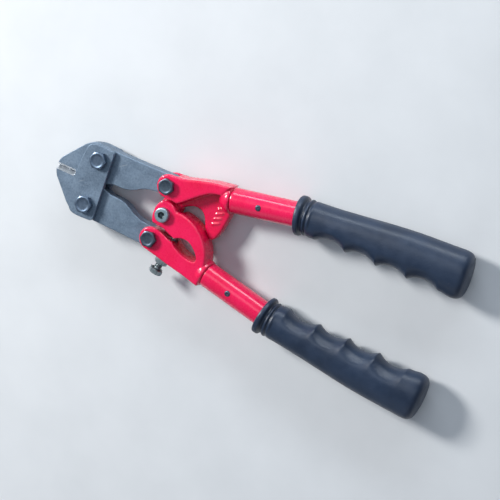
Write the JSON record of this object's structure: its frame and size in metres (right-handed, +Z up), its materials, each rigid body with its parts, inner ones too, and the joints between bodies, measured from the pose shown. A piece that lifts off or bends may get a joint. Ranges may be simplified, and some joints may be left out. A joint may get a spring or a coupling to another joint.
{
  "type": "rescue cutter",
  "caption": "Compact compound-lever rescue cutter: wedge jaws between head plates, red cast levers with stop wing and adjusting bolt, red tubes and black moulded finger-groove grips.",
  "frame": {"origin": "middle of the footprint, on the plane that the tool rests on", "axes": "+X along the tool from the jaws to the grips, +Y toward the upper lever, +Z up and square to the plane in which the jaws and handles swing"},
  "size_m": [0.3503, 0.1424, 0.032],
  "materials": {
    "phosphated_steel": "satin",
    "fastener_steel": "satin",
    "red_casting": "gloss",
    "red_tube": "gloss",
    "black_grip": "satin"
  },
  "bodies": {
    "head": {"head_plate_top": "phosphated_steel", "head_plate_bottom": "phosphated_steel", "jaw_bolt_upper": "fastener_steel", "jaw_washer_upper": "fastener_steel", "jaw_nut_upper": "fastener_steel", "jaw_bolt_lower": "fastener_steel", "jaw_washer_lower": "fastener_steel", "jaw_nut_lower": "fastener_steel"},
    "upper_jaw": {"jaw_upper": "phosphated_steel"},
    "lower_jaw": {"jaw_lower": "phosphated_steel"},
    "upper_handle": {"lever_upper": "red_casting", "tube_upper": "red_tube", "tube_pin_upper": "fastener_steel", "grip_upper": "black_grip", "link_bolt_upper": "fastener_steel", "link_washer_upper": "fastener_steel", "link_nut_upper": "fastener_steel"},
    "lower_handle": {"lever_lower": "red_casting", "tube_lower": "red_tube", "tube_pin_lower": "fastener_steel", "grip_lower": "black_grip", "link_bolt_lower": "fastener_steel", "link_washer_lower": "fastener_steel", "link_nut_lower": "fastener_steel", "centre_bolt": "fastener_steel", "centre_washer": "fastener_steel", "centre_nut": "fastener_steel", "adjusting_bolt": "fastener_steel", "adjuster_lock_nut": "fastener_steel"}
  },
  "joints": [
    {"name": "upper_handle_swing", "type": "hinge", "parent": "upper_jaw", "child": "upper_handle", "pos_m": [-0.0771, 0.0228, 0.016], "axis": [0, 0, 1], "range_deg": [0, 46]},
    {"name": "upper_jaw_hinge", "type": "hinge", "parent": "head", "child": "upper_jaw", "pos_m": [-0.1395, 0.0192, 0.016], "axis": [0, 0, -1], "range_deg": [0, 6.7]},
    {"name": "lower_jaw_hinge", "type": "hinge", "parent": "head", "child": "lower_jaw", "pos_m": [-0.1395, -0.0192, 0.016], "axis": [0, 0, 1], "range_deg": [0, 6.7]},
    {"name": "lower_handle_swing", "type": "hinge", "parent": "lower_jaw", "child": "lower_handle", "pos_m": [-0.0771, -0.0228, 0.016], "axis": [0, 0, -1], "range_deg": [0, 46]}
  ],
  "couplings": [
    {"joint": "upper_jaw_hinge", "follows": "upper_handle_swing", "ratio": 0.144},
    {"joint": "lower_jaw_hinge", "follows": "upper_handle_swing", "ratio": 0.144},
    {"joint": "lower_handle_swing", "follows": "upper_handle_swing", "ratio": 1}
  ]
}
